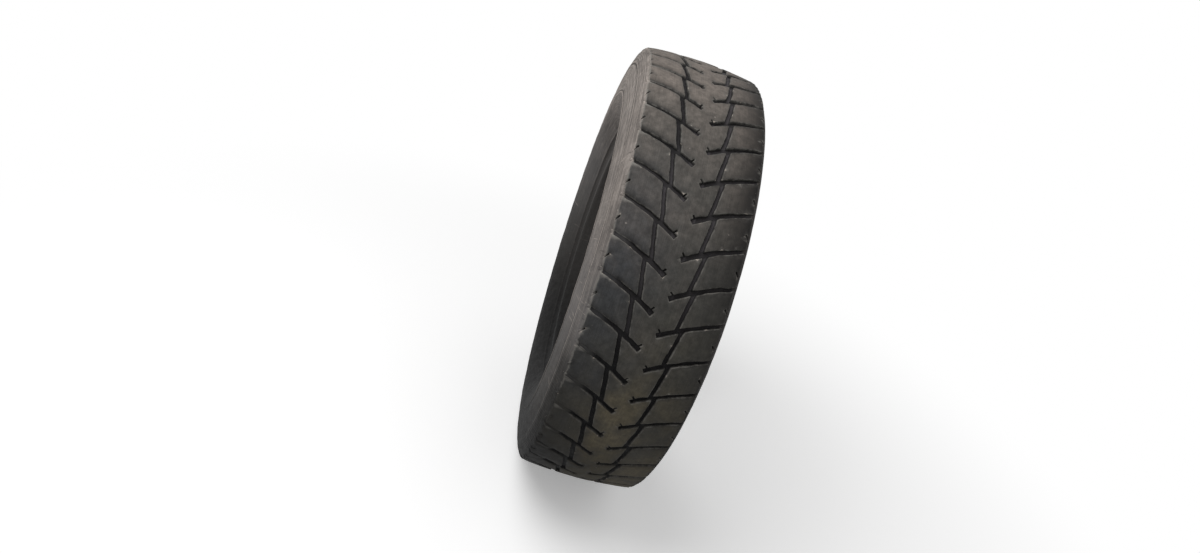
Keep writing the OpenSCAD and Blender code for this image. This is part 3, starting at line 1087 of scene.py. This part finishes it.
    # edge between the two
    ragged = minus(tree, noise(tree, here, 75, 4, 0.7), 0.5)
    edge = plus(tree, beside, times(tree, ragged, band(height, "raggedHeight")))
    spread = band(height, "softEdgeHeight")
    isWall = remap(tree, edge, minus(tree, treadEdge, spread),
                   plus(tree, treadEdge + 1 * mm, times(tree, spread, 0.6)))
    # painted shade: the right shoulder darkened next to the tread
    wall = coat(wall, "shadedRightEdge", band(side, "shadedShoulderSide"), past(edge, "shadedShoulderPast"))
    # painted shade: both shoulders darkened low down, most next to the tread, with a ragged upper edge
    raggedTop = times(tree, minus(tree, noise(tree, here, 9, 5, 0.65), 0.5), 0.14)
    wall = coat(wall, "lowShoulderShade", band(plus(tree, height, raggedTop), "lowShoulderShadeHeight"),
                past(edge, "lowShoulderShadePast"), patches(12, 4, 0.6, "lowShoulderShadePatch"))
    base = mixColor(tree, isWall, tread, wall)
    base = coat(base, "paleWearAndHighlight", past(edge, "rimPast"), past(edge, "rimEnd"), band(side, "rimSide"),
                band(height, "rimHeight"), patches(28, 4, 0.65, "rimPatch"))
    # painted shade: the slits darkened where they open at the tread's edge, in the upper part of the tyre
    base = coat(base, "groove", band(marks["grooveDepth"], "mouthDepth"), past(edge, "mouthPast"),
                band(height, "mouthHeight"), minus(tree, 1.0, inLateral))
    base = coat(base, "wallDust", specks, 0.7)
    base = coat(base, "wallDust", fineSpecks, 0.3)
    base = coat(base, "chip", band(marks["edgeWearAndRibHighlight"], "chipped"), torn)
    # painted shade: the left side darkened from just above the axle down, and the bottom darkened except on
    # the right
    base = coat(base, "groove", band(height, "leftFootShadeHeight"), band(side, "leftFootShadeSide"))
    base = coat(base, "groove", band(height, "footShadeHeight"), band(side, "footShadeSide"))
    relief = plus(tree, times(tree, grain["Height"], 0.4), times(tree, streak, isWall, 0.7))
    relief = minus(tree, relief, times(tree, specks, 0.3))
    fill(tree, shader, {"Base Color": base, "Roughness": remap(tree, grain["Mottle"], 0.3, 0.7, 0.72, 0.94),
                        "Specular IOR Level": 0.22, "Normal": bumped(tree, relief, 0.8)})
    return material


linerLook = {
    "rubber": linear(52, 50, 48),
    "dust": linear(120, 110, 98),
}


def linerMaterial(look):
    material, tree, shader = newMaterial("innerLiner")
    grain = useGroup(tree, grainGroup, Fineness=500, Pitting=0.2)
    dust = useGroup(tree, dustGroup, Level=0.05, Patchiness=0.8, Settled=0.3)["Mask"]
    streak = useGroup(tree, streakGroup, Fineness=160, Shortness=2)["Streak"]
    base = shaded(tree, look["rubber"], grain["Mottle"], 0.8, 1.2)
    base = shaded(tree, base, streak, 0.85, 1.15)
    base = mixColor(tree, dust, base, look["dust"])
    relief = plus(tree, times(tree, grain["Height"], 0.3), times(tree, streak, 0.5))
    fill(tree, shader, {"Base Color": base, "Roughness": remap(tree, dust, 0, 1, 0.55, 0.9),
                        "Specular IOR Level": 0.35, "Normal": bumped(tree, relief, 0.6)})
    return material


tyre.data.materials.append(rubberMaterial(rubberLook, rubberWear))
tyre.data.materials.append(linerMaterial(linerLook))
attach(tyre, "root")
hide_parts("tyre")
print("materials made")


# floor, light and camera

stageSettings = {
    "floorSize": 60,
    "floorSeen": 0.95,             # how pale the floor looks near the tyre
    "floorBounce": 0.4,            # how much light it throws back
    "floorGlow": 0.28,             # lifts the lit floor to white for the camera
    "fade": (0.7, 1.9),            # the floor turns into plain white between these distances
    "keyPower": 50,
    "keySize": 2.2,
    "keyPlace": (0.7, -1.3, 2.5),
    "skyStrength": 0.42,
}


def cameraRays(tree):
    # what the camera sees directly, in a gloss or through glass
    path = addNode(tree, "LightPath").outputs
    direct = calc(tree, "MAXIMUM", path["Is Camera Ray"], path["Is Glossy Ray"])
    return calc(tree, "MAXIMUM", direct, path["Is Transmission Ray"])


def buildStage(s):
    half = s["floorSize"] / 2
    mesh = bpy.data.meshes.new("floor")
    mesh.from_pydata([(-half, -half, groundLevel), (half, -half, groundLevel),
                      (half, half, groundLevel), (-half, half, groundLevel)], [], [(0, 1, 2, 3)])
    floor = addObject("floor", mesh)
    material, tree, shader = newMaterial("paleFloor")
    seenBy = cameraRays(tree)
    seen, bounce = s["floorSeen"], s["floorBounce"]
    color = mixColor(tree, seenBy, (bounce, bounce, bounce, 1), (seen, seen, seen, 1))
    distance = addNode(tree, "VectorMath", {0: objectPlace(tree), 1: (0, 0, groundLevel)},
                       operation="DISTANCE").outputs["Value"]
    away = times(tree, remap(tree, distance, *s["fade"]), seenBy)
    near = times(tree, minus(tree, 1.0, away), seenBy)
    glow = plus(tree, away, times(tree, near, s["floorGlow"]))
    black, white = (0, 0, 0, 1), (1, 1, 1, 1)
    fill(tree, shader, {"Base Color": mixColor(tree, away, color, black), "Roughness": 0.9,
                        "Specular IOR Level": 0, "Emission Strength": 1,
                        "Emission Color": mixColor(tree, glow, black, white)})
    floor.data.materials.append(material)
    world = bpy.data.worlds.new("studio")
    bpy.context.scene.world = world
    world.use_nodes = True
    tree = world.node_tree
    fill(tree, tree.nodes["Background"], {
        "Color": white, "Strength": remap(tree, cameraRays(tree), 0, 1, s["skyStrength"], 1)})
    lamp = bpy.data.lights.new("key", "AREA")
    lamp.shape = "DISK"
    lamp.size = s["keySize"]
    lamp.energy = s["keyPower"]
    key = addObject("key", lamp)
    key.location = s["keyPlace"]
    key.rotation_euler = (-Vector(s["keyPlace"])).to_track_quat("-Z", "Y").to_euler()


cameraSettings = {
    "place": (1.9557, -0.3298, 0.9203),
    "degrees": (62.379, -18.237, 91.486),
    "lens": 26.1,
}


def buildCamera(s):
    camera = addObject("camera", bpy.data.cameras.new("camera"))
    camera.location = s["place"]
    camera.rotation_euler = [math.radians(a) for a in s["degrees"]]
    camera.data.lens = s["lens"]
    bpy.context.scene.camera = camera


buildStage(stageSettings)
buildCamera(cameraSettings)
bpy.context.scene.view_settings.view_transform = "Standard"
print("stage made")
